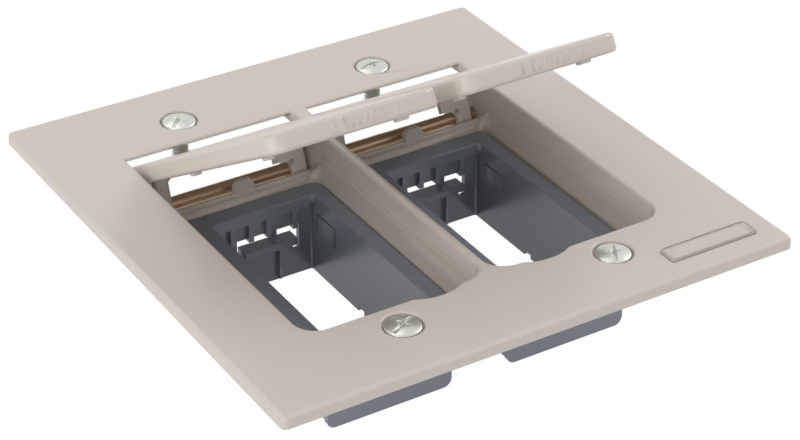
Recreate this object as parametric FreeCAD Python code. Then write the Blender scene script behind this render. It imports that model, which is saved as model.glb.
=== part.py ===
"""Floor outlet plate: a moulded faceplate with two hinged lids over two open module carriers.

The origin lies on the underside of the carriers, under the centre of the plate.
X runs along the hinge pins, +Y points to the hinges and +Z up. Depths are
measured down from the plate's top face. The lids stand half open.
"""
import FreeCAD, Part

import math
import os

V = FreeCAD.Vector

# Module opening, which the pockets, the hinge line, the screws and the plate follow
OPENING_W = 23.3
OPENING_L = 46.4
OPENING_SHIFT = 2.6
OPENING_Y = -4.9
OPENING_R = 1.0

# Faceplate
PLATE_T = 2.4
PLATE_SIDE = 15.7
PLATE_END = 13.55
PLATE_CORNER_R = 2.5
PLATE_EDGE_R = 0.8
LABEL_W = 19.5
LABEL_D = 4.1
LABEL_DEPTH = 0.25
LABEL_FROM_SIDE = 14.7
LABEL_FROM_FRONT = 7.1

# Two pockets side by side, with a divider between them
POCKET_SIDE = 7.05
DIVIDER_W = 3.8
POCKET_CORNER_R = 4.4
POCKET_EDGE_R = 0.6
BAY_SHIFT = 0.5
DIP_W = 10.4
DIP_DEPTH = 1.45
DIP_X = 11.9
DIP_BLEND_R = 1.3
SIDE_WALL = 1.8
FRONT_WALL = 2.6
LEDGE_DEPTH = 4.9
LEDGE_W = 0.3
FRONT_LEDGE = 4.5
FRONT_LEDGE_T = 1.6
LOWER_CORNER_R = 2.0
LIP_W = 1.3
CORE_W = 1.4
CORE_ROOF = 5.5
CORE_END = 8.0

# Wall between a pocket and its hinge trough
CROSS_T = 2.4
CROSS_DEPTH = 9.25
CROSS_SWEEP_R = 3.0
CROSS_RAMP = 3.8
RETAINER_SHIFT = 1.6
RETAINER_W = 4.5
RETAINER_TOP = 6.0
RETAINER_T = 1.2
RETAINER_R = 1.8

# Hinge
PIN_D = 3.0
PIN_BEHIND_WALL = 3.5
PIN_TO_MOUTH = 5.8
PIN_DEPTH = 9.6
PIN_SEAT = 1.1
PIN_SEAT_CLEARANCE = 0.03
PIN_CHAMFER = 0.3
CHEEK_R = 3.8
SWING_CLEARANCE = 1.0
SWING_RECESS = 0.5

# Lids
LID_GAP = 0.9
LID_FRONT_GAP = 0.5
LID_DROP = 0.4
LID_REAR = 4.2
LID_T = 3.8
LID_SKIN = 1.8
LID_RIM = 1.6
LID_EDGE_R = 0.9
LID_REAR_CORNER_R = 1.0
LID_BLOCK = 7.0
LID_RIB_T = 1.2
LID_RIB_X = 6.0
LID_ANGLE = {"left": 31.65, "right": 32.05}
BUMP_LEFT = -5.0
BUMP_RIGHT = 8.0
BUMP_R = 0.9
BUMP_PROUD = 0.2
GRIP_PITCH = 1.3
GRIP_PROUD = 0.12
NUB_L = 2.6
NUB_H = 0.55
NUB_W = 1.4
NUB_R = 0.3
NUB_NEAR = 26.0
NUB_FAR = 60.0
FRONT_NUB_X = 9.25

# Hinge arms under each lid
ARM_T = 3.5
ARM_LEFT = -16.65
ARM_RIGHT = 13.9
ARM_END_R = 3.0
ARM_LEAN = 1.4
ARM_EDGE_R = 0.7
ARM_BORE_CLEARANCE = 0.08
ARM_FILLET_R = 2.4
RETURN_W = 3.7
RETURN_T = 1.2
RETURN_FACE = 3.4
RETURN_CLEARANCE = 0.35

# Module carriers
FLANGE_FRONT = 4.2
FLANGE_BACK = 4.3
FLANGE_DEPTH = 10.2
FLANGE_T = 1.5
FLANGE_CLEARANCE = 0.3
CARRIER_EDGE_R = 0.35
BAND_H = 2.6
END_STEP = 1.0
BOX_WALL = 0.9
BOX_H = 18.2
BOX_CORNER_R = 0.5
BOX_BOTTOM_R = 0.6
END_WALL_W = 27.4
END_WALL_T = 1.1
END_WALL_R = 1.8
TAB_W = 7.6
TAB_H = 5.0
TAB_SLIT = 0.55
TAB_TOP = 3.8
TAB_INSET = 0.8
BARB_H = 1.2
BARB_PROUD = 0.3
BARB_W = 2.4
WINDOW_TOP = 6.3
WINDOW_LEFT = -5.6
WINDOW_RIGHT = 8.6
WINDOW_H = 6.1
TONGUE_LEFT = -4.9
TONGUE_RIGHT = 7.1
TONGUE_GAP = 1.95
SHELF_PROUD = 1.25
SHELF_T = 1.5
POST_X = 2.85
POST_T = 1.3
POST_RIB_H = 0.6
RIB_W = 1.1
RIB_XS = (-6.9, -2.75, 1.25, 7.3)
RIB_TOOTH = 0.4
LOW_RIB_X = 3.8
LOW_RIB_W = 0.7
NOTCH_W = 2.2
NOTCH_H = 0.9
NOTCH_Y = 4.7

# Fixing screws
SCREW_PITCH_X = 46.0
SCREW_FROM_POCKET = 6.1
SCREW_D = 3.5
NECK_D = 2.9
SCREW_L = 11.0
SCREW_HOLE_D = 4.2
SCREW_TIP = 0.8
LUG_SPACE_D = 8.8
HEAD_D = 8.5
HEAD_RIM = 0.75
HEAD_DOME = 0.6
HEAD_RECESS_D = 9.8
HEAD_RECESS_DEPTH = 1.0
DRIVE_W = 0.9
DRIVE_L = 5.0
DRIVE_DEPTH = 0.8

# How far a cut runs past the face that it opens
OVERRUN = 1.0

# Sizes that follow
LOWER_FRONT = OPENING_L / 2 - OPENING_Y + FLANGE_FRONT + FLANGE_CLEARANCE
CROSS_FRONT = OPENING_L / 2 + OPENING_Y + FLANGE_BACK + FLANGE_CLEARANCE
CROSS_BACK = CROSS_FRONT + CROSS_T
PIN_Y = CROSS_BACK + PIN_BEHIND_WALL
POCKET_FRONT = LOWER_FRONT + FRONT_LEDGE
POCKET_BACK = PIN_Y + PIN_TO_MOUTH
POCKET_W = OPENING_W + 2 * POCKET_SIDE
POCKET_IN = DIVIDER_W / 2
POCKET_OUT = POCKET_IN + POCKET_W
BAY_MID = (POCKET_IN + POCKET_OUT) / 2 - BAY_SHIFT
WELL_OUT = POCKET_OUT + SIDE_WALL
WELL_DEPTH = PIN_DEPTH + CHEEK_R
SEAT_DEPTH = FLANGE_DEPTH + FLANGE_T
BODY_DEPTH = FLANGE_DEPTH + BOX_H
SCREW_PITCH_Y = 2 * (POCKET_FRONT + SCREW_FROM_POCKET)
PLATE_W = 2 * (POCKET_OUT + PLATE_SIDE)
PLATE_D = SCREW_PITCH_Y + 2 * PLATE_END
PIN_START = POCKET_IN - PIN_SEAT
PIN_END = WELL_OUT - PIN_CHAMFER
LID_W = POCKET_W - 2 * LID_GAP
LID_FRONT = POCKET_FRONT - LID_FRONT_GAP
LID_ROOT = LID_DROP + LID_T - LID_SKIN / 2
SIDES = {"left": -1, "right": 1}
ENDS = {"front": -1, "back": 1}


def box(x0, x1, y0, y1, z0, z1):
    """Block between the six planes given."""
    return Part.makeBox(x1 - x0, y1 - y0, z1 - z0, V(x0, y0, z0))


def rounded_outline(x0, x1, y0, y1, radii):
    """Closed wire at z 0; the corner radii run counter-clockwise from x0, y0."""
    corners = [V(x0, y0, 0), V(x1, y0, 0), V(x1, y1, 0), V(x0, y1, 0)]
    edges = []
    starts = []
    ends = []
    for i, corner in enumerate(corners):
        back = (corners[i - 1] - corner).normalize()
        ahead = (corners[(i + 1) % 4] - corner).normalize()
        start = corner + back * radii[i]
        end = corner + ahead * radii[i]
        starts.append(start)
        ends.append(end)
        if radii[i] > 0:
            middle = corner + (back + ahead) * radii[i] * (1 - math.sqrt(0.5))
            edges.append(Part.Arc(start, middle, end).toShape())
    for i in range(4):
        edges.append(Part.LineSegment(ends[i], starts[(i + 1) % 4]).toShape())
    return Part.Wire(Part.__sortEdges__(edges))


def prism(x0, x1, y0, y1, z0, z1, radii):
    """Upright block with rounded vertical corners."""
    face = Part.Face(rounded_outline(x0, x1, y0, y1, radii))
    face.translate(V(0, 0, z0))
    return face.extrude(V(0, 0, z1 - z0))


def side_profile(x0, x1, steps):
    """Solid from x0 to x1 with a section in Y and Z; a step of two points is an arc to its second."""
    edges = []
    here = V(x0, *steps[0])
    first = here
    for step in steps[1:] + [steps[0]]:
        if isinstance(step[0], tuple):
            there = V(x0, *step[1])
            edges.append(Part.Arc(here, V(x0, *step[0]), there).toShape())
        else:
            there = V(x0, *step)
            edges.append(Part.LineSegment(here, there).toShape())
        here = there
    assert here.isEqual(first, 1e-6)
    return Part.Face(Part.Wire(edges)).extrude(V(x1 - x0, 0, 0))


def front_profile(y0, y1, x0, x1, z0, z1, radii):
    """Solid from y0 to y1 whose X and Z section is a rounded rectangle."""
    face = Part.Face(rounded_outline(x0, x1, z0, z1, radii))
    face.rotate(V(0, 0, 0), V(1, 0, 0), 90)
    face.translate(V(0, y1, 0))
    return face.extrude(V(0, y0 - y1, 0))


def rod_x(x0, x1, radius, y=PIN_Y, z=-PIN_DEPTH):
    """Cylinder along X."""
    return Part.makeCylinder(radius, x1 - x0, V(x0, y, z), V(1, 0, 0))


def fillet_where(shape, radius, chosen):
    """Fillet the edges that the test picks."""
    edges = [edge for edge in shape.Edges if chosen(edge.BoundBox)]
    return shape.makeFillet(radius, edges) if edges else shape


def flat_at(bounds, z):
    """True for an edge that lies flat at this height."""
    return abs(bounds.ZMin - z) < 1e-4 and abs(bounds.ZMax - z) < 1e-4


def swing_radius():
    """Reach of the lid's rounded rear edge from the hinge axis."""
    return math.hypot(LID_REAR - LID_EDGE_R, PIN_DEPTH - LID_DROP - LID_EDGE_R) + LID_EDGE_R


def plate_slab():
    """The flange of the faceplate with its rounded rim."""
    slab = prism(-PLATE_W / 2, PLATE_W / 2, -PLATE_D / 2, PLATE_D / 2, -PLATE_T, 0, [PLATE_CORNER_R] * 4)
    slab = fillet_where(slab, PLATE_EDGE_R, lambda bounds: flat_at(bounds, 0))
    return slab


def well_block():
    """Solid under the plate that the pockets are sunk into."""
    outer_r = POCKET_CORNER_R + SIDE_WALL
    top = -PLATE_T / 2
    upper = prism(-WELL_OUT, WELL_OUT, -POCKET_FRONT - FRONT_WALL, 0, -LEDGE_DEPTH - FRONT_LEDGE_T, top,
                  [outer_r, outer_r, 0, 0])
    bulge = CHEEK_R * math.sqrt(0.5)
    lower = side_profile(-WELL_OUT, WELL_OUT, [
        (-LOWER_FRONT - SIDE_WALL, top),
        (-LOWER_FRONT - SIDE_WALL, -WELL_DEPTH),
        (PIN_Y, -WELL_DEPTH),
        ((PIN_Y + bulge, -PIN_DEPTH - bulge), (PIN_Y + CHEEK_R, -PIN_DEPTH)),
        (PIN_Y + CHEEK_R, top)])
    corners = prism(-WELL_OUT, WELL_OUT, -LOWER_FRONT - SIDE_WALL, PLATE_D, -WELL_DEPTH, 0,
                    [LOWER_CORNER_R + SIDE_WALL, LOWER_CORNER_R + SIDE_WALL, 0, 0])
    return upper.fuse(lower.common(corners)).cut(lug_spaces())


def lug_spaces():
    """Room beside the well for the lugs that the front screws go into."""
    return [Part.makeCylinder(LUG_SPACE_D / 2, WELL_DEPTH, V(x, y, -PLATE_T - WELL_DEPTH))
            for _, x, y in screw_places() if y < 0]


def finger_dip(side):
    """Bite in the front edge of a pocket, for a fingertip."""
    radius = (DIP_W ** 2 / 4 + DIP_DEPTH ** 2) / (2 * DIP_DEPTH)
    centre = V(SIDES[side] * DIP_X, -POCKET_FRONT - DIP_DEPTH + radius, -LEDGE_DEPTH)
    disc = Part.makeCylinder(radius, LEDGE_DEPTH + OVERRUN, centre)
    inward = DIP_DEPTH / 10
    reach = box(-WELL_OUT, WELL_OUT, -POCKET_FRONT - DIP_DEPTH - OVERRUN, -POCKET_FRONT + inward,
                -LEDGE_DEPTH, OVERRUN)
    return disc.common(reach)


def pocket_span(side, inset=0.0):
    """The two X values of a pocket, in rising order."""
    ends = [SIDES[side] * (POCKET_IN + inset), SIDES[side] * (POCKET_OUT - inset)]
    return min(ends), max(ends)


def bay_span(side, inset):
    """The same inset as at the divider, to both sides of the bay's middle, in rising order."""
    half = BAY_MID - POCKET_IN - inset
    return SIDES[side] * BAY_MID - half, SIDES[side] * BAY_MID + half


def mouth(side):
    """Opening of a pocket in the plate, with its finger dip, down to the ledge."""
    x0, x1 = pocket_span(side)
    front_r = [POCKET_CORNER_R, POCKET_CORNER_R, 0, 0]
    opening = prism(x0, x1, -POCKET_FRONT, POCKET_BACK, -LEDGE_DEPTH, OVERRUN, front_r)
    opening = opening.fuse(finger_dip(side)).removeSplitter()
    dip_x = SIDES[side] * DIP_X
    return fillet_where(opening, DIP_BLEND_R, lambda bounds: (
        abs(bounds.YMax + POCKET_FRONT) < 1e-3 and bounds.YLength < 1e-3
        and bounds.XLength < 1e-3 and abs(abs(bounds.XMin - dip_x) - DIP_W / 2) < 1e-3))


def lower_void(side):
    """What is cut away below the ledge for one pocket."""
    low0, low1 = pocket_span(side, LEDGE_W)
    lip0, lip1 = bay_span(side, LEDGE_W + LIP_W)
    lower = prism(low0, low1, -LOWER_FRONT, CROSS_FRONT, -SEAT_DEPTH, -LEDGE_DEPTH, [LOWER_CORNER_R] * 4)
    throat = box(lip0, lip1, -LOWER_FRONT + LIP_W, CROSS_FRONT - LIP_W, -WELL_DEPTH - OVERRUN, -SEAT_DEPTH)
    saddle = front_profile(CROSS_FRONT - LOWER_CORNER_R, CROSS_BACK, low0, low1, -CROSS_DEPTH, -LEDGE_DEPTH,
                           [CROSS_SWEEP_R, CROSS_SWEEP_R, 0, 0])
    return [lower, throat, saddle]


def hinge_trough(side):
    """Space for the hinge behind the cross wall, and for the lid's rear edge under the plate."""
    x0, x1 = pocket_span(side)
    back = PIN_Y + swing_radius() + SWING_CLEARANCE
    trough = side_profile(x0, x1, [
        (CROSS_BACK, -WELL_DEPTH - OVERRUN),
        (CROSS_BACK, -CROSS_DEPTH),
        (CROSS_BACK - CROSS_RAMP, -LEDGE_DEPTH),
        (POCKET_BACK, -LEDGE_DEPTH),
        (POCKET_BACK, -PLATE_T),
        (back, -PLATE_T),
        (back, -WELL_DEPTH - OVERRUN)])
    swing = rod_x(x0, x1, swing_radius() + SWING_CLEARANCE)
    under_plate = box(x0, x1, POCKET_BACK - OVERRUN, back, -PLATE_T - OVERRUN, 0)
    recess = box(x0, x1, POCKET_BACK - OVERRUN, back, -PLATE_T - OVERRUN, -PLATE_T + SWING_RECESS)
    return [trough, swing.common(under_plate), recess]


def divider_core():
    """Slot that lightens the divider from below."""
    bottom = -WELL_DEPTH - OVERRUN
    return box(-CORE_W / 2, CORE_W / 2, -LOWER_FRONT, CROSS_FRONT - CORE_END, bottom, -CORE_ROOF)


def retainer(side):
    """Rounded tab on the cross wall, close in front of the pin."""
    x = SIDES[side] * BAY_MID + RETAINER_SHIFT
    foot = -CROSS_DEPTH - CROSS_T / 2
    return front_profile(CROSS_BACK - RETAINER_T, CROSS_BACK, x - RETAINER_W / 2, x + RETAINER_W / 2,
                         foot, -RETAINER_TOP, [0, 0, RETAINER_R, RETAINER_R])


def pin_bore(side):
    """Blind seat in the divider and a through seat in the outer wall."""
    ends = [SIDES[side] * PIN_START, SIDES[side] * (WELL_OUT + OVERRUN)]
    return rod_x(min(ends), max(ends), PIN_D / 2 + PIN_SEAT_CLEARANCE)


def screw_places():
    """Name and centre of each fixing screw."""
    for end, along in ENDS.items():
        for side, across in SIDES.items():
            yield f"screw_{end}_{side}", across * SCREW_PITCH_X / 2, along * SCREW_PITCH_Y / 2


def screw_cuts():
    """Clearance hole and head recess of every screw."""
    cuts = []
    for _, x, y in screw_places():
        cuts.append(Part.makeCylinder(SCREW_HOLE_D / 2, PLATE_T + OVERRUN, V(x, y, -PLATE_T - OVERRUN)))
        cuts.append(Part.makeCylinder(HEAD_RECESS_D / 2, HEAD_RECESS_DEPTH + OVERRUN,
                                      V(x, y, -HEAD_RECESS_DEPTH)))
    return cuts


def mouth_edge(bounds):
    """True for the top edges of the pockets."""
    inside = max(abs(bounds.XMin), abs(bounds.XMax)) < POCKET_OUT + SIDE_WALL / 2
    return flat_at(bounds, 0) and inside and bounds.YMax < POCKET_BACK + SIDE_WALL / 2


def make_faceplate():
    """Flange, pockets, hinge seats and screw holes in one moulding."""
    mouths = [mouth(side) for side in SIDES]
    slab = fillet_where(plate_slab().cut(mouths), POCKET_EDGE_R, mouth_edge)
    body = slab.fuse(well_block().cut(mouths))
    for side in SIDES:
        body = body.cut(lower_void(side) + hinge_trough(side))
    body = body.cut(divider_core())
    body = body.fuse([retainer(side) for side in SIDES])
    body = body.cut(screw_cuts() + [pin_bore(side) for side in SIDES] + [label()])
    return body.removeSplitter()


def label():
    """Shallow bare panel in the front right corner."""
    x = PLATE_W / 2 - LABEL_FROM_SIDE
    y = -PLATE_D / 2 + LABEL_FROM_FRONT
    return box(x - LABEL_W / 2, x + LABEL_W / 2, y - LABEL_D / 2, y + LABEL_D / 2, -LABEL_DEPTH, OVERRUN)


def make_pin(side):
    """Turned hinge pin with chamfered ends."""
    ends = [SIDES[side] * PIN_START, SIDES[side] * PIN_END]
    pin = rod_x(min(ends), max(ends), PIN_D / 2)
    rims = [edge for edge in pin.Edges if edge.Closed]
    return pin.makeChamfer(PIN_CHAMFER, rims)


def lid_panel():
    """Lid without arms, with its top at z 0, closed, centred on X 0."""
    half = LID_W / 2
    rear = PIN_Y + LID_REAR
    front_r = POCKET_CORNER_R - LID_GAP
    panel = prism(-half, half, -LID_FRONT, rear, -LID_T, 0,
                  [front_r, front_r, LID_REAR_CORNER_R, LID_REAR_CORNER_R])
    panel = fillet_where(panel, LID_EDGE_R, lambda bounds: flat_at(bounds, 0) or flat_at(bounds, -LID_T))
    inner_r = front_r - LID_RIM
    hollow = prism(-half + LID_RIM, half - LID_RIM, -LID_FRONT + LID_RIM, PIN_Y - LID_BLOCK,
                   -LID_T - OVERRUN, -LID_SKIN, [inner_r, inner_r, 0, 0])
    ribs = [box(x - LID_RIB_T / 2, x + LID_RIB_T / 2, -LID_FRONT, PIN_Y, -LID_T - OVERRUN, 0)
            for x in (-LID_RIB_X, LID_RIB_X)]
    return panel.cut(hollow.cut(ribs))


def grip():
    """Two bumps and the fine upright ribs between them, on the free end."""
    room = BUMP_RIGHT - BUMP_LEFT - 4 * BUMP_R
    count = int(room / GRIP_PITCH)
    first = (BUMP_LEFT + BUMP_RIGHT) / 2 - (count - 1) * GRIP_PITCH / 2
    ridges = [(x, BUMP_R, BUMP_PROUD) for x in (BUMP_LEFT, BUMP_RIGHT)]
    ridges += [(first + i * GRIP_PITCH, BUMP_R / 2, GRIP_PROUD) for i in range(count)]
    pieces = []
    for x, radius, proud in ridges:
        centre = V(x, -LID_FRONT - proud + radius, -LID_T + LID_EDGE_R)
        pieces.append(Part.makeCylinder(radius, LID_T - 2 * LID_EDGE_R, centre))
    return pieces


def nub(x, y, width, length):
    """Small rounded foot under the rim."""
    foot = box(x - width / 2, x + width / 2, y - length / 2, y + length / 2, -LID_T - NUB_H, -LID_T + NUB_H)
    return fillet_where(foot, NUB_R, lambda bounds: flat_at(bounds, -LID_T - NUB_H))


def nubs():
    """Two feet along the left edge and one at the free end."""
    x = -LID_W / 2 + LID_EDGE_R + NUB_W / 2
    feet = [nub(x, PIN_Y - reach, NUB_W, NUB_L) for reach in (NUB_NEAR, NUB_FAR)]
    feet.append(nub(FRONT_NUB_X, -LID_FRONT + LID_EDGE_R + NUB_W / 2, NUB_L, NUB_W))
    return feet


def arm(x):
    """One hinge arm, leaning forward as it rises to the lid."""
    bar = side_profile(x, x + ARM_T, [
        (PIN_Y - ARM_END_R, -PIN_DEPTH),
        ((PIN_Y, -PIN_DEPTH - ARM_END_R), (PIN_Y + ARM_END_R, -PIN_DEPTH)),
        (PIN_Y + ARM_END_R, -LID_ROOT),
        (PIN_Y - ARM_END_R - ARM_LEAN, -LID_ROOT)])
    return fillet_where(bar, ARM_EDGE_R, lambda bounds: (
        bounds.XLength < 1e-4 and not flat_at(bounds, -LID_ROOT)))


def arm_fillet():
    """Concave corner between the left arm and the lid."""
    inner = ARM_LEFT + ARM_T - ARM_EDGE_R
    r = ARM_FILLET_R + ARM_EDGE_R
    underside = -LID_DROP - LID_T
    corner = box(inner, inner + r, PIN_Y - ARM_END_R, PIN_Y + ARM_END_R, underside - r, -LID_ROOT)
    scoop = Part.makeCylinder(r, PIN_Y, V(inner + r, PIN_Y / 2, underside - r), V(0, 1, 0))
    return corner.cut(scoop)


def return_web():
    """Web that turns inward from the right arm, over the pin."""
    face = PIN_Y - RETURN_FACE
    bottom = -PIN_DEPTH + PIN_D / 2 + RETURN_CLEARANCE
    return box(ARM_RIGHT - RETURN_W, ARM_RIGHT + ARM_T / 2, face, face + RETURN_T, bottom, -LID_ROOT)


def make_lid(side):
    """Lid with its arms, turned to the angle at which it stands."""
    panel = lid_panel().fuse(grip() + nubs())
    panel.translate(V(0, 0, -LID_DROP))
    lid = panel.fuse([arm(ARM_LEFT), arm(ARM_RIGHT), arm_fillet(), return_web()])
    lid = lid.cut(rod_x(-LID_W, LID_W, PIN_D / 2 + ARM_BORE_CLEARANCE))
    lid = lid.removeSplitter()
    lid.translate(V(SIDES[side] * BAY_MID, 0, 0))
    lid.rotate(V(0, PIN_Y, -PIN_DEPTH), V(-1, 0, 0), LID_ANGLE[side])
    return lid


def carrier_walls():
    """Walls of the carrier under its flange, open at both ends, and the space inside them."""
    half_w = OPENING_W / 2
    half_l = OPENING_L / 2 + END_STEP
    outer = prism(-half_w - BOX_WALL, half_w + BOX_WALL, -half_l - BOX_WALL, half_l + BOX_WALL,
                  -BOX_H, -FLANGE_T / 2, [BOX_CORNER_R + BOX_WALL] * 4)
    inner = prism(-half_w, half_w, -half_l, half_l, -BOX_H - OVERRUN, -BAND_H, [BOX_CORNER_R] * 4)
    return outer, inner


def end_walls():
    """Wider end walls, with their lower corners rounded."""
    half_w = END_WALL_W / 2
    outside = OPENING_L / 2 + END_STEP + END_WALL_T
    walls = []
    for sign in (-1, 1):
        ends = sorted((sign * outside, sign * (outside - END_WALL_T)))
        walls.append(front_profile(ends[0], ends[1], -half_w, half_w, -BOX_H, -FLANGE_T / 2,
                                   [END_WALL_R, END_WALL_R, 0, 0]))
    return walls


def flange(side):
    """Rim of the carrier that drops onto the lip of the well."""
    centre = SIDES[side] * BAY_MID + OPENING_SHIFT
    x0, x1 = bay_span(side, LEDGE_W + FLANGE_CLEARANCE)
    return prism(x0 - centre, x1 - centre, -OPENING_L / 2 - FLANGE_FRONT, OPENING_L / 2 + FLANGE_BACK,
                 -FLANGE_T, 0, [LOWER_CORNER_R] * 4)


def tab_slits():
    """Inverted U slits that free a snap tab in each side wall, near both ends."""
    slits = []
    reach = OPENING_W / 2 + BOX_WALL + OVERRUN
    for end in (-1, 1):
        outer = end * (OPENING_L / 2 - TAB_INSET)
        y0, y1 = sorted((outer, outer - end * TAB_W))
        slits.append(box(-reach, reach, y0, y1, -TAB_TOP - TAB_SLIT, -TAB_TOP))
        for y in (y0, y1 - TAB_SLIT):
            slits.append(box(-reach, reach, y, y + TAB_SLIT, -TAB_TOP - TAB_H, -TAB_TOP))
    return slits


def barb(sign, y):
    """Wedge inside a snap tab that holds a module by its side."""
    face = OPENING_W / 2
    root = face + BOX_WALL / 2
    top = -TAB_TOP - TAB_SLIT
    foot = top - 2 * BARB_H
    profile = [(root, top), (face - BARB_PROUD, top - BARB_H), (face, foot), (root, foot)]
    corners = [V(sign * x, y - BARB_W / 2, z) for x, z in profile]
    return Part.Face(Part.makePolygon(corners + [corners[0]])).extrude(V(0, BARB_W, 0))


def barbs():
    """A wedge on every snap tab."""
    middle = OPENING_L / 2 - TAB_INSET - TAB_W / 2
    return [barb(sign, end * middle) for end in (-1, 1) for sign in (-1, 1)]


def window():
    """Gap round the snap tongue in the rear wall."""
    y0 = OPENING_L / 2 + END_STEP / 2
    y1 = OPENING_L / 2 + END_STEP + END_WALL_T + OVERRUN
    top = -WINDOW_TOP
    gap = box(WINDOW_LEFT, WINDOW_RIGHT, y0, y1, top - TONGUE_GAP, top)
    left = box(WINDOW_LEFT, TONGUE_LEFT, y0, y1, top - WINDOW_H, top)
    right = box(TONGUE_RIGHT, WINDOW_RIGHT, y0, y1, top - WINDOW_H, top)
    return [gap, left, right]


def tongue_details():
    """Shelf on the tongue, the post that steadies it, and the ribs above and below."""
    face = OPENING_L / 2
    outside = face + END_STEP + END_WALL_T
    wall = outside - END_WALL_T / 2
    shelf_top = -WINDOW_TOP - TONGUE_GAP
    post0 = POST_X - POST_T / 2
    post1 = POST_X + POST_T / 2
    pieces = [
        box(TONGUE_LEFT, TONGUE_RIGHT, face - SHELF_PROUD, wall, shelf_top - SHELF_T, shelf_top),
        box(post0, post1, face + END_STEP, outside, shelf_top - SHELF_T, -WINDOW_TOP + POST_RIB_H),
        box(post0, post1, face - SHELF_PROUD / 2, wall, shelf_top - SHELF_T, shelf_top + POST_RIB_H),
        box(LOW_RIB_X - LOW_RIB_W / 2, LOW_RIB_X + LOW_RIB_W / 2, face, wall,
            -BOX_H + BOX_BOTTOM_R, shelf_top - SHELF_T)]
    for x in RIB_XS:
        pieces.append(box(x - RIB_W / 2, x + RIB_W / 2, face, wall, -WINDOW_TOP - RIB_TOOTH, -BAND_H))
    return pieces


def make_carrier(side):
    """Open box that a socket module clips into; the opening is off centre in its flange."""
    outer, inner = carrier_walls()
    half_w = OPENING_W / 2
    half_l = OPENING_L / 2
    opening = prism(-half_w, half_w, -half_l, half_l, -BAND_H - OVERRUN, OVERRUN, [OPENING_R] * 4)
    rim = fillet_where(flange(side).cut(opening), CARRIER_EDGE_R, lambda bounds: flat_at(bounds, 0))
    carrier = rim.fuse([outer.cut(opening)] + end_walls())
    carrier = carrier.cut([inner] + tab_slits() + window())
    carrier = carrier.fuse(tongue_details() + barbs())
    notch = box(0, half_w + BOX_WALL + OVERRUN, NOTCH_Y - NOTCH_W / 2, NOTCH_Y + NOTCH_W / 2,
                -BOX_H - OVERRUN, -BOX_H + NOTCH_H)
    carrier = carrier.cut(notch).removeSplitter()
    carrier.translate(V(SIDES[side] * BAY_MID + OPENING_SHIFT, OPENING_Y, -FLANGE_DEPTH))
    return carrier


def make_screw(x, y):
    """Domed screw with a cross and slot drive; its neck through the plate is thinner than its thread."""
    seat = -HEAD_RECESS_DEPTH
    rim = seat + HEAD_RIM
    crown = rim + HEAD_DOME
    tip = seat - SCREW_L
    shank = SCREW_D / 2
    neck = NECK_D / 2
    head = HEAD_D / 2
    points = [V(0, 0, tip), V(shank - SCREW_TIP, 0, tip), V(shank, 0, tip + SCREW_TIP * 2),
              V(shank, 0, -PLATE_T), V(neck, 0, -PLATE_T), V(neck, 0, seat), V(head, 0, seat), V(head, 0, rim)]
    edges = [Part.LineSegment(a, b).toShape() for a, b in zip(points, points[1:])]
    dome_r = (head ** 2 + HEAD_DOME ** 2) / (2 * HEAD_DOME)
    dome_mid = V(head / 2, 0, crown - dome_r + math.sqrt(dome_r ** 2 - head ** 2 / 4))
    edges.append(Part.Arc(V(head, 0, rim), dome_mid, V(0, 0, crown)).toShape())
    edges.append(Part.LineSegment(V(0, 0, crown), V(0, 0, tip)).toShape())
    screw = Part.Face(Part.Wire(edges)).revolve(V(0, 0, 0), V(0, 0, 1), 360)
    half = DRIVE_L / 2
    floor = crown - DRIVE_DEPTH
    slot = box(-HEAD_D, HEAD_D, -DRIVE_W / 2, DRIVE_W / 2, floor, crown + OVERRUN)
    cross = box(-DRIVE_W / 2, DRIVE_W / 2, -half, half, floor, crown + OVERRUN)
    screw = screw.cut([slot, cross])
    screw.translate(V(x, y, 0))
    return screw


def build_nodes():
    """Every piece by name, still measured from the plate's top face."""
    nodes = {"faceplate": make_faceplate()}
    for side in SIDES:
        nodes[f"lid_{side}"] = make_lid(side)
        nodes[f"hinge_pin_{side}"] = make_pin(side)
        nodes[f"module_carrier_{side}"] = make_carrier(side)
    for name, x, y in screw_places():
        nodes[name] = make_screw(x, y)
    return nodes


def main():
    os.makedirs("parts", exist_ok=True)
    for name, shape in build_nodes().items():
        shape.translate(V(0, 0, BODY_DEPTH))
        shape.exportStep(f"parts/{name}.step")
        print(f"{name}: {len(shape.Solids)} solid, {shape.Volume / 1000:.2f} cm3, valid {shape.isValid()}")


main()
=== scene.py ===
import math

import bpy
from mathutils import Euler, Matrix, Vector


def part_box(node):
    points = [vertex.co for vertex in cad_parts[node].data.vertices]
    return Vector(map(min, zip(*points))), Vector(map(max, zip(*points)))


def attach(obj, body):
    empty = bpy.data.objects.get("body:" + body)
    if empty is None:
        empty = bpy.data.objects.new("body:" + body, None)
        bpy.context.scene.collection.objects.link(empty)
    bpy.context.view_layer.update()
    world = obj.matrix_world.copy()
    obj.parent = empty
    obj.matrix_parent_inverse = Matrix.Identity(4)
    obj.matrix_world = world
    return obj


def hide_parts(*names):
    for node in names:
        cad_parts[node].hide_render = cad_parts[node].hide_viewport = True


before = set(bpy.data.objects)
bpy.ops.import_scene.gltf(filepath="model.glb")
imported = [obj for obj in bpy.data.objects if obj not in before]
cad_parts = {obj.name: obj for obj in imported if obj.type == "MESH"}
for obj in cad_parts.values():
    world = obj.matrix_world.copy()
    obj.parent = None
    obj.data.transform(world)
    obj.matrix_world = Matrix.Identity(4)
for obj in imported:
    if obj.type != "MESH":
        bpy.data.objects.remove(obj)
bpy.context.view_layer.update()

# %% [markdown]
# # A floor outlet plate with two hinged lids
#
# The real object is a moulded cover that screws down over a floor box. Two lids
# turn on brass pins, and under each lid hangs an open box that a socket module
# clips into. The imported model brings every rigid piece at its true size. This
# lesson gives those pieces smooth surfaces and a finish, models the threaded
# screws afresh, and lights the whole as in a product photograph.

MM = 0.001
PLATE_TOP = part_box("faceplate")[1][2]
print("plate top stands", round(PLATE_TOP / MM, 2), "mm above the floor")

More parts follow.
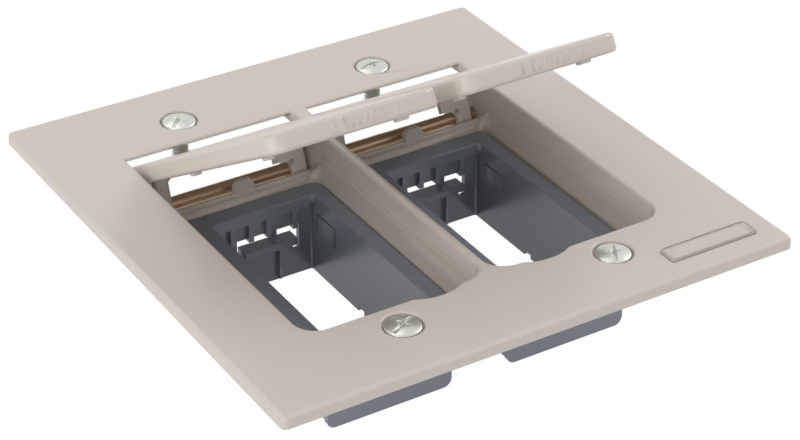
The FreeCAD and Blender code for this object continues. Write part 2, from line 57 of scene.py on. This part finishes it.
# %% [markdown]
# ## Camera
#
# The photograph was taken from the front left, a little above the lids. A long
# lens keeps the plate's sides nearly parallel. The camera is placed by its
# position over the plate and turned by azimuth, elevation and a slight roll,
# because those three angles can be read and changed one at a time.

# %% Place the camera
CAMERA_PLACE = Vector((-204.65, -332.44, 233.06)) * MM
CAMERA_AZIMUTH = 32.02
CAMERA_ELEVATION = 31.75
CAMERA_ROLL = 0.365
CAMERA_LENS = 105.1


def add_camera():
    data = bpy.data.cameras.new("camera")
    data.lens = CAMERA_LENS
    data.sensor_width = 36.0
    data.clip_start = 0.01
    camera = bpy.data.objects.new("camera", data)
    bpy.context.scene.collection.objects.link(camera)
    camera.location = CAMERA_PLACE + Vector((0, 0, PLATE_TOP))
    turn = Euler((math.radians(90 - CAMERA_ELEVATION), 0, math.radians(-CAMERA_AZIMUTH))).to_matrix()
    roll = Matrix.Rotation(math.radians(CAMERA_ROLL), 3, "Z")
    camera.rotation_euler = (turn @ roll).to_euler()
    bpy.context.scene.camera = camera
    return camera


camera = add_camera()
print("camera stands at", [round(c / MM, 1) for c in camera.location], "mm")

# %% [markdown]
# ## Floor, world and lamps
#
# A product photograph has a white ground and soft light from large panels. The
# floor shows mostly white to the camera but still takes a faint shadow, so the
# object stands on something. The lids throw their shadows to the left in the
# photograph, so the smallest lamp, which gives the crispest shadow, stands high on
# the right. Larger lamps light the back, the left and the front, and the world
# fills the pockets.

# %% Floor and white world
FLOOR_SIZE = 3.0
FLOOR_WHITE = 0.98
FLOOR_GREY = (0.78, 0.78, 0.78, 1)
FILL_COLOUR = (0.97, 0.96, 1.0, 1)
FILL_STRENGTH = 0.58


def deselect_all():
    bpy.ops.object.select_all(action="DESELECT")


def new_material(name):
    """Material with an empty node tree and its output."""
    material = bpy.data.materials.new(name)
    material.use_nodes = True
    tree = material.node_tree
    tree.nodes.clear()
    return material, tree, tree.nodes.new("ShaderNodeOutputMaterial")


def white_for_camera(tree, plain, share, out):
    """Show white to the camera and to mirrors, and the plain shader to all other rays."""
    path = tree.nodes.new("ShaderNodeLightPath")
    seen = tree.nodes.new("ShaderNodeMath")
    seen.operation = "MAXIMUM"
    either = tree.nodes.new("ShaderNodeMath")
    either.operation = "MAXIMUM"
    tree.links.new(path.outputs["Is Camera Ray"], seen.inputs[0])
    tree.links.new(path.outputs["Is Glossy Ray"], seen.inputs[1])
    tree.links.new(seen.outputs[0], either.inputs[0])
    tree.links.new(path.outputs["Is Transmission Ray"], either.inputs[1])
    amount = tree.nodes.new("ShaderNodeMath")
    amount.operation = "MULTIPLY"
    amount.inputs[1].default_value = share
    tree.links.new(either.outputs[0], amount.inputs[0])
    mix = tree.nodes.new("ShaderNodeMixShader")
    tree.links.new(amount.outputs[0], mix.inputs[0])
    tree.links.new(plain.outputs[0], mix.inputs[1])
    for_world = out.bl_idname.endswith("World")
    glow = tree.nodes.new("ShaderNodeBackground" if for_world else "ShaderNodeEmission")
    glow.inputs["Color"].default_value = (1, 1, 1, 1)
    glow.inputs["Strength"].default_value = 1.0
    tree.links.new(glow.outputs[0], mix.inputs[2])
    tree.links.new(mix.outputs[0], out.inputs["Surface"])


def add_floor():
    deselect_all()
    bpy.ops.mesh.primitive_plane_add(size=FLOOR_SIZE)
    floor = bpy.context.object
    floor.name = "floor"
    material, tree, out = new_material("floor_white")
    matte = tree.nodes.new("ShaderNodeBsdfDiffuse")
    matte.inputs["Color"].default_value = FLOOR_GREY
    white_for_camera(tree, matte, FLOOR_WHITE, out)
    floor.data.materials.append(material)


def set_world():
    world = bpy.data.worlds.new("studio")
    bpy.context.scene.world = world
    world.use_nodes = True
    tree = world.node_tree
    tree.nodes.clear()
    out = tree.nodes.new("ShaderNodeOutputWorld")
    fill = tree.nodes.new("ShaderNodeBackground")
    fill.inputs["Color"].default_value = FILL_COLOUR
    fill.inputs["Strength"].default_value = FILL_STRENGTH
    white_for_camera(tree, fill, 1.0, out)


add_floor()
set_world()

# %% Lamps
LAMPS = {
    "key": {"place": (0.85, 0.05, 0.62), "size": 0.45, "power": 3.2},
    "back": {"place": (-0.1, 0.45, 0.85), "size": 0.6, "power": 1.45},
    "left": {"place": (-0.9, -0.25, 0.33), "size": 0.8, "power": 3.9},
    "low front": {"place": (-0.35, -0.9, 0.1), "size": 0.5, "power": 1.6},
}


def add_lamp(name, place, size, power):
    data = bpy.data.lights.new(name, "AREA")
    data.size = size
    data.energy = power
    lamp = bpy.data.objects.new(name, data)
    bpy.context.scene.collection.objects.link(lamp)
    lamp.location = place
    lamp.rotation_euler = (-Vector(place)).to_track_quat("-Z", "Y").to_euler()


for name, lamp in LAMPS.items():
    add_lamp(name, **lamp)
print("lamps:", ", ".join(LAMPS))

# %% [markdown]
# ## Helpers for finishes
#
# Every finish is procedural. It reads Object coordinates, so a pattern has its
# true scale on every piece and stays in place when a lid turns. A noise texture
# stretched through a Mapping node gives grain and streaks. The Bevel node rounds
# sharp moulded edges in the shading alone, so each edge catches a thin line of
# light without thousands of extra faces.

# %% Noise, bump and edge light
EDGE_SAMPLES = 4
NOISE_LOW = 0.1
NOISE_HIGH = 0.9


def object_noise(tree, scale, stretch=(1, 1, 1), detail=2.0):
    """Noise texture on Object coordinates; the scale counts waves per metre."""
    place = tree.nodes.new("ShaderNodeTexCoord")
    mapping = tree.nodes.new("ShaderNodeMapping")
    mapping.inputs["Scale"].default_value = stretch
    noise = tree.nodes.new("ShaderNodeTexNoise")
    noise.inputs["Scale"].default_value = scale
    noise.inputs["Detail"].default_value = detail
    tree.links.new(place.outputs["Object"], mapping.inputs["Vector"])
    tree.links.new(mapping.outputs["Vector"], noise.inputs["Vector"])
    return noise.outputs["Fac"]


def colour_range(tree, value, dark, light, start=NOISE_LOW, end=NOISE_HIGH):
    """Colour that runs from dark to light as the value rises."""
    ramp = tree.nodes.new("ShaderNodeValToRGB")
    ramp.color_ramp.elements[0].position = start
    ramp.color_ramp.elements[0].color = (*dark, 1)
    ramp.color_ramp.elements[1].position = end
    ramp.color_ramp.elements[1].color = (*light, 1)
    tree.links.new(value, ramp.inputs["Fac"])
    return ramp.outputs["Color"]


def number_range(tree, value, low, high):
    """Number that runs from low to high across the noise's usual range."""
    spread = tree.nodes.new("ShaderNodeMapRange")
    spread.inputs["From Min"].default_value = NOISE_LOW
    spread.inputs["From Max"].default_value = NOISE_HIGH
    spread.inputs["To Min"].default_value = low
    spread.inputs["To Max"].default_value = high
    tree.links.new(value, spread.inputs["Value"])
    return spread.outputs["Result"]


def add_relief(tree, shader, height, distance, strength, edge_radius=0.0):
    """Bump from the height, on top of softly rounded edges."""
    bump = tree.nodes.new("ShaderNodeBump")
    bump.inputs["Distance"].default_value = distance
    bump.inputs["Strength"].default_value = strength
    tree.links.new(height, bump.inputs["Height"])
    if edge_radius:
        edge = tree.nodes.new("ShaderNodeBevel")
        edge.samples = EDGE_SAMPLES
        edge.inputs["Radius"].default_value = edge_radius
        tree.links.new(edge.outputs["Normal"], bump.inputs["Normal"])
    tree.links.new(bump.outputs["Normal"], shader.inputs["Normal"])


def add_shader(tree, out, metallic):
    shader = tree.nodes.new("ShaderNodeBsdfPrincipled")
    shader.inputs["Metallic"].default_value = metallic
    tree.links.new(shader.outputs[0], out.inputs["Surface"])
    return shader


# %% [markdown]
# ## Plastics
#
# The plate and the lids are one smooth, semi-gloss warm grey plastic. The
# carriers are a blue-grey plastic with a finer sheen. Both vary a little in tone,
# as mouldings do, and both have the faint ripple of a moulded skin. The gloss is
# the same all over, so it is set directly on the shader.

# %% Warm grey and blue-grey plastic
PLATE_DARK = (0.589, 0.532, 0.469)
PLATE_LIGHT = (0.598, 0.541, 0.476)
CARRIER_DARK = (0.222, 0.244, 0.286)
CARRIER_LIGHT = (0.234, 0.257, 0.300)
PLATE_GLOSS = 0.28
CARRIER_GLOSS = 0.27
SKIN_WAVES = 700
RIPPLE_HEIGHT = 0.005 * MM
RIPPLE_STRENGTH = 0.05
MOULDED_EDGE = 0.12 * MM


def plastic(name, dark, light, gloss):
    """Moulded plastic: a slight variation of tone, a faint ripple and soft edges."""
    material, tree, out = new_material(name)
    shader = add_shader(tree, out, 0.0)
    shader.inputs["Roughness"].default_value = gloss
    skin = object_noise(tree, SKIN_WAVES, detail=1.0)
    tree.links.new(colour_range(tree, skin, dark, light), shader.inputs["Base Color"])
    add_relief(tree, shader, skin, RIPPLE_HEIGHT, RIPPLE_STRENGTH, MOULDED_EDGE)
    return material


plate_plastic = plastic("plate_plastic", PLATE_DARK, PLATE_LIGHT, PLATE_GLOSS)
carrier_plastic = plastic("carrier_plastic", CARRIER_DARK, CARRIER_LIGHT, CARRIER_GLOSS)
print("plastics:", plate_plastic.name, carrier_plastic.name)

# %% [markdown]
# ## Metals
#
# The hinge pins are brass that has turned brown. Lighter gold streaks run along
# the wire; they are painted highlights set in the base colour. The screws are zinc
# plated: pale, a little green, and polished unevenly.

# %% Aged brass and zinc
BRASS_BROWN = (0.260, 0.170, 0.125)
PAINTED_BRASS_HIGHLIGHT = (0.640, 0.450, 0.290)
ZINC_GREY = (0.52, 0.54, 0.49)
ZINC_PALE = (0.66, 0.68, 0.62)
METAL_WAVES = 900
ALONG_THE_PIN = (0.05, 1, 1)
STREAK_START = 0.3
STREAK_END = 0.64


def aged_brass():
    material, tree, out = new_material("pin_brass")
    shader = add_shader(tree, out, 0.65)
    streaks = object_noise(tree, METAL_WAVES, stretch=ALONG_THE_PIN, detail=3.0)
    # The gold end of this ramp paints highlight streaks into the pin's colour along its length.
    colour = colour_range(tree, streaks, BRASS_BROWN, PAINTED_BRASS_HIGHLIGHT, STREAK_START, STREAK_END)
    tree.links.new(colour, shader.inputs["Base Color"])
    tree.links.new(number_range(tree, streaks, 0.38, 0.26), shader.inputs["Roughness"])
    add_relief(tree, shader, streaks, 0.02 * MM, 0.3)
    return material


def zinc_plate():
    material, tree, out = new_material("screw_zinc")
    shader = add_shader(tree, out, 0.8)
    spangle = object_noise(tree, METAL_WAVES, detail=3.0)
    tree.links.new(colour_range(tree, spangle, ZINC_GREY, ZINC_PALE), shader.inputs["Base Color"])
    tree.links.new(number_range(tree, spangle, 0.36, 0.24), shader.inputs["Roughness"])
    add_relief(tree, shader, spangle, 0.03 * MM, 0.25, MOULDED_EDGE)
    return material


pin_brass = aged_brass()
screw_zinc = zinc_plate()
print("metals:", pin_brass.name, screw_zinc.name)

# %% [markdown]
# ## Smooth copies of the mouldings and pins
#
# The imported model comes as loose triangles, which shade as flat facets. A copy of
# each piece is merged into one surface, and Limited Dissolve joins the triangles
# of each flat side into whole faces. It is then shaded smooth wherever two faces
# meet at a small angle. A Weighted Normal modifier lets the large flat faces keep
# their own direction, so only the fillets look round. Each copy stands in for the
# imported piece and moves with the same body.

# %% Merge, smooth and finish a copy
MERGE_DISTANCE = 0.001 * MM
FLAT_ANGLE = math.radians(0.2)
SMOOTH_ANGLE = math.radians(35)


def edit_mesh(piece):
    """Open one piece in edit mode with all of it selected."""
    deselect_all()
    piece.select_set(True)
    bpy.context.view_layer.objects.active = piece
    bpy.ops.object.mode_set(mode="EDIT")
    bpy.ops.mesh.select_all(action="SELECT")


def shade_smooth(piece):
    """Smooth shading across small angles, with flat faces kept flat."""
    deselect_all()
    piece.select_set(True)
    bpy.context.view_layer.objects.active = piece
    bpy.ops.object.shade_smooth_by_angle(angle=SMOOTH_ANGLE)
    bpy.ops.object.modifier_add(type="WEIGHTED_NORMAL")
    modifier = piece.modifiers[-1]
    modifier.keep_sharp = True
    bpy.ops.object.modifier_apply(modifier=modifier.name)


def finish_piece(piece, material, body, node):
    """Give a piece its finish, its body and the node that it stands for."""
    piece.data.materials.clear()
    piece.data.materials.append(material)
    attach(piece, body)
    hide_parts(node)


def merged_copy(node, name):
    """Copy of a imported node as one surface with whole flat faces."""
    piece = bpy.data.objects.new(name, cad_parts[node].data.copy())
    bpy.context.scene.collection.objects.link(piece)
    edit_mesh(piece)
    bpy.ops.mesh.remove_doubles(threshold=MERGE_DISTANCE)
    bpy.ops.mesh.dissolve_limited(angle_limit=FLAT_ANGLE)
    bpy.ops.object.mode_set(mode="OBJECT")
    return piece


COPIES = [
    ("lid_left", "smooth_lid_left", plate_plastic, "lid_left", "plate_plastic"),
    ("lid_right", "smooth_lid_right", plate_plastic, "lid_right", "plate_plastic"),
    ("module_carrier_left", "smooth_carrier_left", carrier_plastic, "frame", "carrier_plastic"),
    ("module_carrier_right", "smooth_carrier_right", carrier_plastic, "frame", "carrier_plastic"),
    ("hinge_pin_left", "smooth_pin_left", pin_brass, "frame", "pin_brass"),
    ("hinge_pin_right", "smooth_pin_right", pin_brass, "frame", "pin_brass"),
]
for node, name, material, body, slot in COPIES:
    piece = merged_copy(node, name)
    shade_smooth(piece)
    finish_piece(piece, material, body, node)
    print(name, len(piece.data.vertices), "vertices")

# %% [markdown]
# ## Faceplate
#
# The moulding's small soft forms are worked into the faceplate's copy: the seats
# that sink the screw heads have a rounded mouth, the small panel at the front
# right has sloping, rounded walls, the plate's corners are almost sharp, and the
# divider between the pockets is thin with a round crest. Each is shaped on the few
# vertices or edges that it needs, so the rest of the moulding stays as packed. One
# cut across the plate marks where the thin part of the divider ends at the back.

# %% Select by place
TOUCH = 0.01 * MM
NEAR = 0.02 * MM
LOOSE = 0.05 * MM


def select_where(piece, kind, chosen):
    """In edit mode, select only the vertices, edges or faces that the test picks."""
    bpy.ops.mesh.select_all(action="DESELECT")
    bpy.ops.mesh.select_mode(type=kind)
    bpy.ops.object.mode_set(mode="OBJECT")
    mesh = piece.data
    if kind == "VERT":
        for vertex in mesh.vertices:
            vertex.select = chosen(vertex.co)
    elif kind == "EDGE":
        for edge in mesh.edges:
            edge.select = all(chosen(mesh.vertices[i].co) for i in edge.vertices)
    else:
        for face in mesh.polygons:
            face.select = chosen(face.center)
    bpy.ops.object.mode_set(mode="EDIT")


# %% Screw seats with a rounded mouth
PACKED_SEAT_R = 4.9 * MM
SEAT_R = 3.85 * MM
SEAT_DEPTH = 1.0 * MM
MOUTH_ROUND = 0.5 * MM
SCREW_NODES = [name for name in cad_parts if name.startswith("screw_")]


def screw_axis(node):
    """Centre of the screw's head, on its crown."""
    low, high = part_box(node)
    return Vector(((low.x + high.x) / 2, (low.y + high.y) / 2, high.z))


def distance_to(axis, point):
    return math.hypot(point.x - axis.x, point.y - axis.y)


def narrow_seat(plate, axis):
    """Shrink one packed screw recess to a close seat with a rounded mouth."""
    select_where(plate, "VERT", lambda point: abs(distance_to(axis, point) - PACKED_SEAT_R) < LOOSE
                 and point.z > PLATE_TOP - SEAT_DEPTH - LOOSE)
    share = SEAT_R / PACKED_SEAT_R
    bpy.ops.transform.resize(value=(share, share, 1), center_override=(axis.x, axis.y, PLATE_TOP))
    select_where(plate, "EDGE", lambda point: abs(distance_to(axis, point) - SEAT_R) < LOOSE
                 and point.z > PLATE_TOP - TOUCH)
    bpy.ops.mesh.bevel(offset=MOUTH_ROUND, segments=4, affect="EDGES")


# %% Small panel with sloping walls
PANEL_MIDDLE = Vector((40.3, -49.65)) * MM
PANEL_HALF = Vector((9.75, 2.05)) * MM
PANEL_DEPTH = 0.25 * MM
PANEL_SLOPE = 0.55 * MM
PANEL_CORNER = 0.7 * MM
PANEL_ROUND = 0.2 * MM


def in_panel(point):
    return (abs(point.x - PANEL_MIDDLE.x) < PANEL_HALF.x + NEAR
            and abs(point.y - PANEL_MIDDLE.y) < PANEL_HALF.y + NEAR)


def on_top(point):
    return point.z > PLATE_TOP - TOUCH


def panel_floor(point):
    return abs(point.z - (PLATE_TOP - PANEL_DEPTH)) < TOUCH


def shape_panel(plate):
    """Round the panel's upright corners, slope its walls, then soften its rims."""
    select_where(plate, "EDGE", lambda point: in_panel(point) and (on_top(point) or panel_floor(point)))
    bpy.ops.object.mode_set(mode="OBJECT")
    mesh = plate.data
    for edge in mesh.edges:
        if edge.select:
            a, b = (mesh.vertices[i].co for i in edge.vertices)
            edge.select = abs(a.z - b.z) > PANEL_DEPTH / 2
    bpy.ops.object.mode_set(mode="EDIT")
    bpy.ops.mesh.bevel(offset=PANEL_CORNER, segments=4, affect="EDGES")
    select_where(plate, "VERT", lambda point: in_panel(point) and panel_floor(point))
    bpy.ops.transform.resize(value=(1 - PANEL_SLOPE / PANEL_HALF.x, 1 - PANEL_SLOPE / PANEL_HALF.y, 1),
                             center_override=(PANEL_MIDDLE.x, PANEL_MIDDLE.y, PLATE_TOP))
    for level in (on_top, panel_floor):
        select_where(plate, "EDGE", lambda point: in_panel(point) and level(point))
        bpy.ops.mesh.bevel(offset=PANEL_ROUND, segments=3, affect="EDGES")


# %% Nearly sharp plate corners
PACKED_CORNER_R = 2.5 * MM
CORNER_R = 1.2 * MM
PLATE_LOW, PLATE_HIGH = (Vector(corner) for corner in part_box("faceplate"))


def sharpen_corner(point):
    """Slide a point of a rounded corner outwards, so that the corner's radius shrinks."""
    for x_side, y_side in ((PLATE_LOW.x, PLATE_LOW.y), (PLATE_LOW.x, PLATE_HIGH.y),
                           (PLATE_HIGH.x, PLATE_LOW.y), (PLATE_HIGH.x, PLATE_HIGH.y)):
        centre = Vector((x_side - math.copysign(PACKED_CORNER_R, x_side),
                         y_side - math.copysign(PACKED_CORNER_R, y_side)))
        out = Vector(((point.x - centre.x) * math.copysign(1, x_side),
                      (point.y - centre.y) * math.copysign(1, y_side)))
        if min(out) > -TOUCH and out.length > 0:
            slide = (Vector((1, 1)) - out.normalized()) * (PACKED_CORNER_R - CORNER_R)
            return Vector((point.x + slide.x * math.copysign(1, x_side),
                           point.y + slide.y * math.copysign(1, y_side), point.z))
    return point


# %% Thin divider with a round crest
PACKED_DIVIDER = 1.9 * MM
DIVIDER_HALF = 1.0 * MM
PACKED_ROUND = 0.6 * MM
CREST_R = 0.95 * MM
POCKET_CORNER_R = 4.4 * MM
POCKET_CORNER_X = PACKED_DIVIDER + POCKET_CORNER_R
POCKET_CORNER_Y = -32.7 * MM
LEDGE_DEPTH = 4.9 * MM
DIVIDER_BACK = 22.0 * MM


def thin_divider(point):
    """Move the divider's walls inwards and round their top edges, fading out at the front."""
    depth = PLATE_TOP - point.z
    out = Vector((POCKET_CORNER_X - abs(point.x), min(point.y - POCKET_CORNER_Y, 0)))
    beyond = out.length - POCKET_CORNER_R
    rounded = depth < PACKED_ROUND + NEAR
    if (out.x < NEAR or point.y > DIVIDER_BACK + NEAR or depth > LEDGE_DEPTH + NEAR or beyond < -NEAR
            or beyond > (PACKED_ROUND if rounded else 0) + NEAR):
        return point
    out.normalize()
    grow = 1 + (CREST_R / PACKED_ROUND - 1) * out.x
    across = POCKET_CORNER_X - out.x * (POCKET_CORNER_X - DIVIDER_HALF + beyond * grow)
    along = point.y if out.y == 0 else POCKET_CORNER_Y + out.y * (POCKET_CORNER_R + beyond * grow)
    return Vector((math.copysign(across, point.x), along, PLATE_TOP - depth * (grow if rounded else 1)))


def make_faceplate():
    """Merged copy of the faceplate with all its soft forms."""
    plate = merged_copy("faceplate", "smooth_faceplate")
    edit_mesh(plate)
    bpy.ops.mesh.bisect(plane_co=(0, DIVIDER_BACK, 0), plane_no=(0, 1, 0))
    for node in SCREW_NODES:
        narrow_seat(plate, screw_axis(node))
    shape_panel(plate)
    bpy.ops.object.mode_set(mode="OBJECT")
    for vertex in plate.data.vertices:
        vertex.co = thin_divider(sharpen_corner(vertex.co))
    shade_smooth(plate)
    return plate


faceplate = make_faceplate()
finish_piece(faceplate, plate_plastic, "frame", "faceplate")
print("faceplate:", len(faceplate.data.vertices), "vertices")

# %% [markdown]
# ## Lips on the cross walls
#
# Behind each carrier a low wall crosses the pocket, and a thin lip stands on its
# rear edge, just under the pin. It closes the camera's view below the pin. A lip is
# a long block with rounded top edges, so one function makes it for either side.

# %% Two lips
LIP_INNER = 2.0 * MM
LIP_OUTER = 39.2 * MM
LIP_Y = 24.75 * MM
LIP_WIDTH = 1.0 * MM
LIP_TOP = PLATE_TOP - 8.6 * MM
LIP_HEIGHT = 1.0 * MM
LIP_ROUND = 0.3 * MM


def make_lip(side, sign):
    """Block with rounded top edges along one cross wall."""
    deselect_all()
    bpy.ops.mesh.primitive_cube_add(size=1, location=(sign * (LIP_INNER + LIP_OUTER) / 2, LIP_Y,
                                                      LIP_TOP - LIP_HEIGHT / 2),
                                    scale=(LIP_OUTER - LIP_INNER, LIP_WIDTH, LIP_HEIGHT))
    lip = bpy.context.object
    lip.name = "cross_lip_" + side
    bpy.ops.object.transform_apply(location=True, rotation=True, scale=True)
    edit_mesh(lip)
    select_where(lip, "EDGE", lambda point: point.z > LIP_TOP - TOUCH)
    bpy.ops.mesh.bevel(offset=LIP_ROUND, segments=4, affect="EDGES")
    bpy.ops.object.mode_set(mode="OBJECT")
    shade_smooth(lip)
    lip.data.materials.clear()
    lip.data.materials.append(plate_plastic)
    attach(lip, "frame")


for side, sign in (("left", -1), ("right", 1)):
    make_lip(side, sign)
print("lips stand", round((PLATE_TOP - LIP_TOP) / MM, 2), "mm below the plate's top")

# %% [markdown]
# ## Screws
#
# The real screws have a low domed head with a cross and a slot, a plain neck in
# the plate and a rolled thread below it. A thread could be faked with rings, but
# a real one climbs, and it shows against the light behind the lids. So one turn
# of its V-shaped flank is drawn and swept upwards by the Screw modifier. The
# screw is modelled once at the origin, then copied to its four places, each copy
# turned as the screwdriver left it.

# %% Head: a disc raised ring by ring into a dome
HEAD_R = 3.52 * MM
HEAD_RIM = 0.75 * MM
HEAD_DOME = 0.6 * MM
HEAD_SIDES = 64
RIM_SOFT = 0.3 * MM
DOME_RINGS = (0.4, 0.6, 0.7, 0.7, 0.7)
SCREW_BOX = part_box("screw_front_left")
SCREW_TOP = SCREW_BOX[1][2]
SCREW_LENGTH = SCREW_TOP - SCREW_BOX[0][2]
SEAT = -(HEAD_RIM + HEAD_DOME)
print("packed screw is", round(SCREW_LENGTH / MM, 2), "mm long")


def dome_height(radius):
    """Height of the dome over its rim at this radius."""
    sphere = (HEAD_R ** 2 + HEAD_DOME ** 2) / (2 * HEAD_DOME)
    return HEAD_DOME - sphere + math.sqrt(sphere ** 2 - radius ** 2)


def make_head():
    """Domed disc whose rim is softened, built from the flat top inwards."""
    deselect_all()
    bpy.ops.mesh.primitive_cylinder_add(vertices=HEAD_SIDES, radius=HEAD_R, depth=HEAD_RIM,
                                        location=(0, 0, SEAT + HEAD_RIM / 2))
    head = bpy.context.object
    bpy.ops.object.transform_apply(location=True, rotation=True, scale=True)
    edit_mesh(head)
    rim = SEAT + HEAD_RIM
    select_where(head, "FACE", lambda centre: centre.z > rim - TOUCH)
    radius = HEAD_R
    for step in DOME_RINGS:
        lower = dome_height(radius)
        radius -= step * MM
        bpy.ops.mesh.inset(thickness=step * MM)
        bpy.ops.transform.translate(value=(0, 0, dome_height(radius) - lower))
    select_where(head, "EDGE", lambda point: point.z > rim - TOUCH
                 and math.hypot(point.x, point.y) > HEAD_R - LOOSE)
    bpy.ops.mesh.bevel(offset=RIM_SOFT, segments=3, affect="EDGES")
    bpy.ops.object.mode_set(mode="OBJECT")
    return head


# %% Drive: a slot across the head and a cross in its middle
DRIVE_W = 0.85 * MM
DRIVE_DEPTH = 0.85 * MM
SLOT_DEPTH = 0.45 * MM
CROSS_LENGTH = 4.2 * MM
CROSS_TAPER = 0.35
CUT_HEIGHT = 2.0 * MM
SLOT_LENGTH = 3 * HEAD_R
EDGE_WORN = 0.1 * MM


def cut_block(piece, length, depth, angle, taper=1.0):
    """Sink a groove through the top of the head, shorter at its bottom by the taper."""
    deselect_all()
    bpy.ops.mesh.primitive_cube_add(size=1, location=(0, 0, CUT_HEIGHT / 2 - depth),
                                    rotation=(0, 0, angle), scale=(length, DRIVE_W, CUT_HEIGHT))
    cutter = bpy.context.object
    bpy.ops.object.transform_apply(location=True, rotation=True, scale=True)
    edit_mesh(cutter)
    select_where(cutter, "VERT", lambda point: point.z < 0)
    bpy.ops.transform.resize(value=(taper, taper, 1), center_override=(0, 0, 0))
    bpy.ops.object.mode_set(mode="OBJECT")
    deselect_all()
    piece.select_set(True)
    bpy.context.view_layer.objects.active = piece
    bpy.ops.object.modifier_add(type="BOOLEAN")
    modifier = piece.modifiers[-1]
    modifier.operation = "DIFFERENCE"
    modifier.solver = "EXACT"
    modifier.object = cutter
    bpy.ops.object.modifier_apply(modifier=modifier.name)
    bpy.data.objects.remove(cutter)


# %% Thread: one V swept up the shank
THREAD_R = 1.75 * MM
CORE_R = 1.38 * MM
NECK_R = 1.45 * MM
PITCH = 0.8 * MM
THREAD_STEPS = 24
PLATE_THICKNESS = 2.4 * MM
THREAD_TOP = -(SCREW_TOP - PLATE_TOP) - PLATE_THICKNESS
TIP = -SCREW_LENGTH
TIP_TAPER = 1.6 * MM
TIP_SHARE = 0.6


def make_thread():
    """A rolled thread from the tip up to the plate's underside, with closed ends."""
    half = PITCH / 2
    turns = math.ceil((THREAD_TOP - TIP) / PITCH) + 2
    deselect_all()
    bpy.ops.mesh.primitive_circle_add(vertices=4, radius=half, fill_type="NOTHING",
                                      location=(CORE_R, 0, TIP - half), rotation=(math.pi / 2, 0, 0))
    thread = bpy.context.object
    bpy.ops.object.transform_apply(location=True, rotation=True, scale=True)
    edit_mesh(thread)
    select_where(thread, "VERT", lambda point: point.x < CORE_R - half / 2)
    bpy.ops.mesh.delete(type="VERT")
    bpy.ops.mesh.select_all(action="SELECT")
    bpy.ops.transform.resize(value=((THREAD_R - CORE_R) / half, 1, 1), center_override=(CORE_R, 0, 0))
    bpy.ops.object.mode_set(mode="OBJECT")
    bpy.ops.object.modifier_add(type="SCREW")
    modifier = thread.modifiers[-1]
    modifier.axis = "Z"
    modifier.screw_offset = PITCH
    modifier.iterations = turns
    modifier.steps = THREAD_STEPS
    modifier.render_steps = THREAD_STEPS
    modifier.use_merge_vertices = True
    modifier.merge_threshold = MERGE_DISTANCE
    bpy.ops.object.modifier_apply(modifier=modifier.name)
    edit_mesh(thread)
    bpy.ops.mesh.remove_doubles(threshold=MERGE_DISTANCE)
    bpy.ops.mesh.bisect(plane_co=(0, 0, THREAD_TOP), plane_no=(0, 0, 1), use_fill=True, clear_outer=True)
    bpy.ops.mesh.select_all(action="SELECT")
    bpy.ops.mesh.bisect(plane_co=(0, 0, TIP), plane_no=(0, 0, 1), use_fill=True, clear_inner=True)
    select_where(thread, "VERT", lambda point: point.z < TIP + TOUCH)
    bpy.ops.transform.resize(value=(TIP_SHARE, TIP_SHARE, 1), center_override=(0, 0, TIP),
                             use_proportional_edit=True, proportional_edit_falloff="LINEAR",
                             proportional_size=TIP_TAPER)
    bpy.ops.mesh.select_all(action="SELECT")
    bpy.ops.mesh.normals_make_consistent(inside=False)
    bpy.ops.object.mode_set(mode="OBJECT")
    return thread


# %% Join head, neck and thread, and set four copies in place
SCREW_TURNS = {"front_left": 25, "front_right": 62, "back_left": 40, "back_right": 8}
NECK_OVERLAP = 0.1 * MM


def make_screw():
    """Head, neck and thread joined in one mesh, with the crown at the origin."""
    head = make_head()
    cut_block(head, SLOT_LENGTH, SLOT_DEPTH, 0)
    for angle in (0, math.pi / 2):
        cut_block(head, CROSS_LENGTH, DRIVE_DEPTH, angle, CROSS_TAPER)
    deselect_all()
    head.select_set(True)
    bpy.context.view_layer.objects.active = head
    bpy.ops.object.modifier_add(type="BEVEL")
    modifier = head.modifiers[-1]
    modifier.width = EDGE_WORN
    modifier.segments = 2
    modifier.angle_limit = SMOOTH_ANGLE
    bpy.ops.object.modifier_apply(modifier=modifier.name)
    thread = make_thread()
    deselect_all()
    neck_top = SEAT + NECK_OVERLAP
    neck_bottom = THREAD_TOP - NECK_OVERLAP
    bpy.ops.mesh.primitive_cylinder_add(vertices=32, radius=NECK_R, depth=neck_top - neck_bottom,
                                        location=(0, 0, (neck_top + neck_bottom) / 2))
    neck = bpy.context.object
    bpy.ops.object.transform_apply(location=True, rotation=True, scale=True)
    deselect_all()
    for part in (head, neck, thread):
        part.select_set(True)
    bpy.context.view_layer.objects.active = head
    bpy.ops.object.join()
    shade_smooth(head)
    return head


screw = make_screw()
for place, turn in SCREW_TURNS.items():
    node = "screw_" + place
    centre = screw_axis(node)
    copy = bpy.data.objects.new("threaded_" + node, screw.data.copy())
    bpy.context.scene.collection.objects.link(copy)
    copy.data.transform(Matrix.Translation(centre) @ Matrix.Rotation(math.radians(turn), 4, "Z"))
    finish_piece(copy, screw_zinc, "frame", node)
bpy.data.objects.remove(screw)
print("screws:", len(SCREW_TURNS), "with", len(copy.data.polygons), "faces each")

# %% Colour management
bpy.context.scene.view_settings.view_transform = "Standard"
